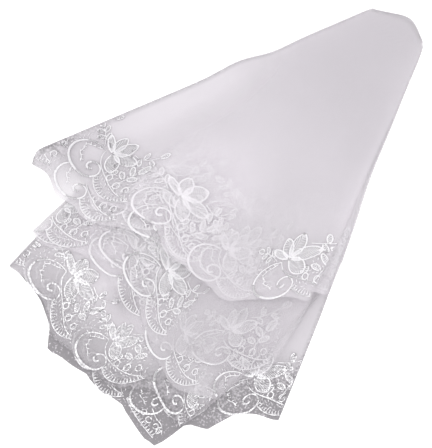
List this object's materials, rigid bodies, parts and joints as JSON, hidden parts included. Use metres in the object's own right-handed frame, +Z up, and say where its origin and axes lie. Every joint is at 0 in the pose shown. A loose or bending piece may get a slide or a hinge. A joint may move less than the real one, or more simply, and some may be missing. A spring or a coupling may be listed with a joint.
{
  "type": "folded tulle bridal veil",
  "caption": "White tulle bridal veil with an embroidered scalloped border, folded into a flat fan and laid down.",
  "frame": {"origin": "middle of the veil's box at the height of the surface it lies on", "axes": "+Z up out of the surface, +X to the right and +Y away from the wide end's lowest corner, as laid; the narrow end points to +X +Y"},
  "size_m": [0.4706, 0.4964, 0.0307],
  "materials": {
    "tulle": "fine open net, soft and matt",
    "satin_thread": "satin-stitched embroidery thread, softly shining"
  },
  "bodies": {
    "root": {"folded_tulle": "tulle", "border_lower_1_1": "satin_thread", "border_lower_1_2": "satin_thread", "border_lower_2_1": "satin_thread", "border_lower_2_2": "satin_thread", "border_lower_3_1": "satin_thread", "border_lower_3_2": "satin_thread", "border_lower_3_3": "satin_thread", "border_lower_4_1": "satin_thread", "border_lower_4_2": "satin_thread", "border_lower_4_3": "satin_thread", "border_upper_1_1": "satin_thread", "border_upper_1_2": "satin_thread", "border_upper_1_3": "satin_thread", "border_upper_2_1": "satin_thread", "border_upper_2_2": "satin_thread", "border_upper_2_3": "satin_thread", "border_upper_3_1": "satin_thread", "border_upper_3_2": "satin_thread", "border_upper_3_3": "satin_thread", "border_upper_3_4": "satin_thread", "border_upper_4_1": "satin_thread", "border_upper_4_2": "satin_thread", "border_upper_4_3": "satin_thread", "border_upper_4_4": "satin_thread"}
  },
  "joints": []
}
